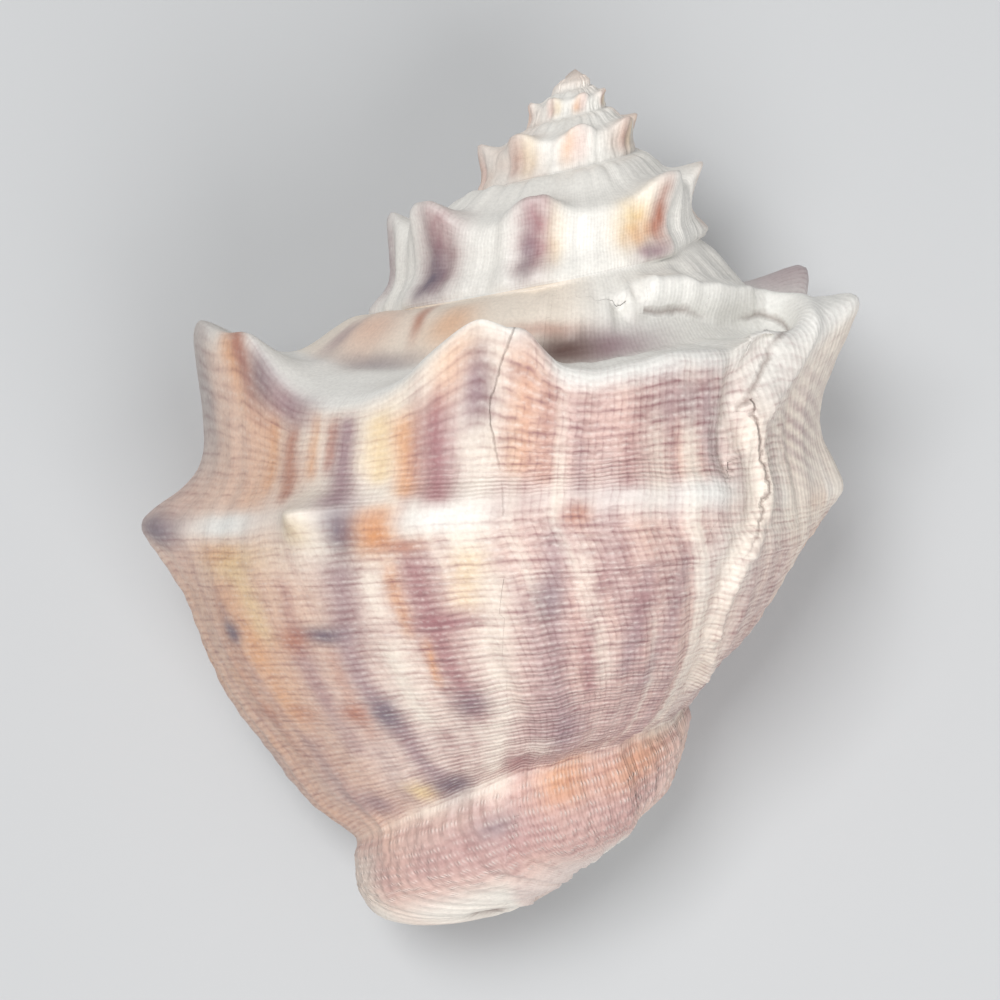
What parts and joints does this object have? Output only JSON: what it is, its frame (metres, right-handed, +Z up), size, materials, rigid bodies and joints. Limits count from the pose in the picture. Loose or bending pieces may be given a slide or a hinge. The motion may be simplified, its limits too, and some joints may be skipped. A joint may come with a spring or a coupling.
{
  "type": "rock shell",
  "caption": "Heavy spiny sea snail shell with a short spire, blunt shoulder spines, fine spiral threads and a wide opening, lying on its opening.",
  "frame": {"origin": "bottom centre of the bounding box, on the surface that the shell lies on", "axes": "+Z up, away from the surface; +Y along the shell's length, from the end of the canal to the tip of the spire; the lip is on the -X side"},
  "size_m": [0.0806, 0.0978, 0.0618],
  "materials": {
    "shell": "satin, chalky on the ridges"
  },
  "bodies": {
    "root": {"shell": "shell"}
  },
  "joints": []
}
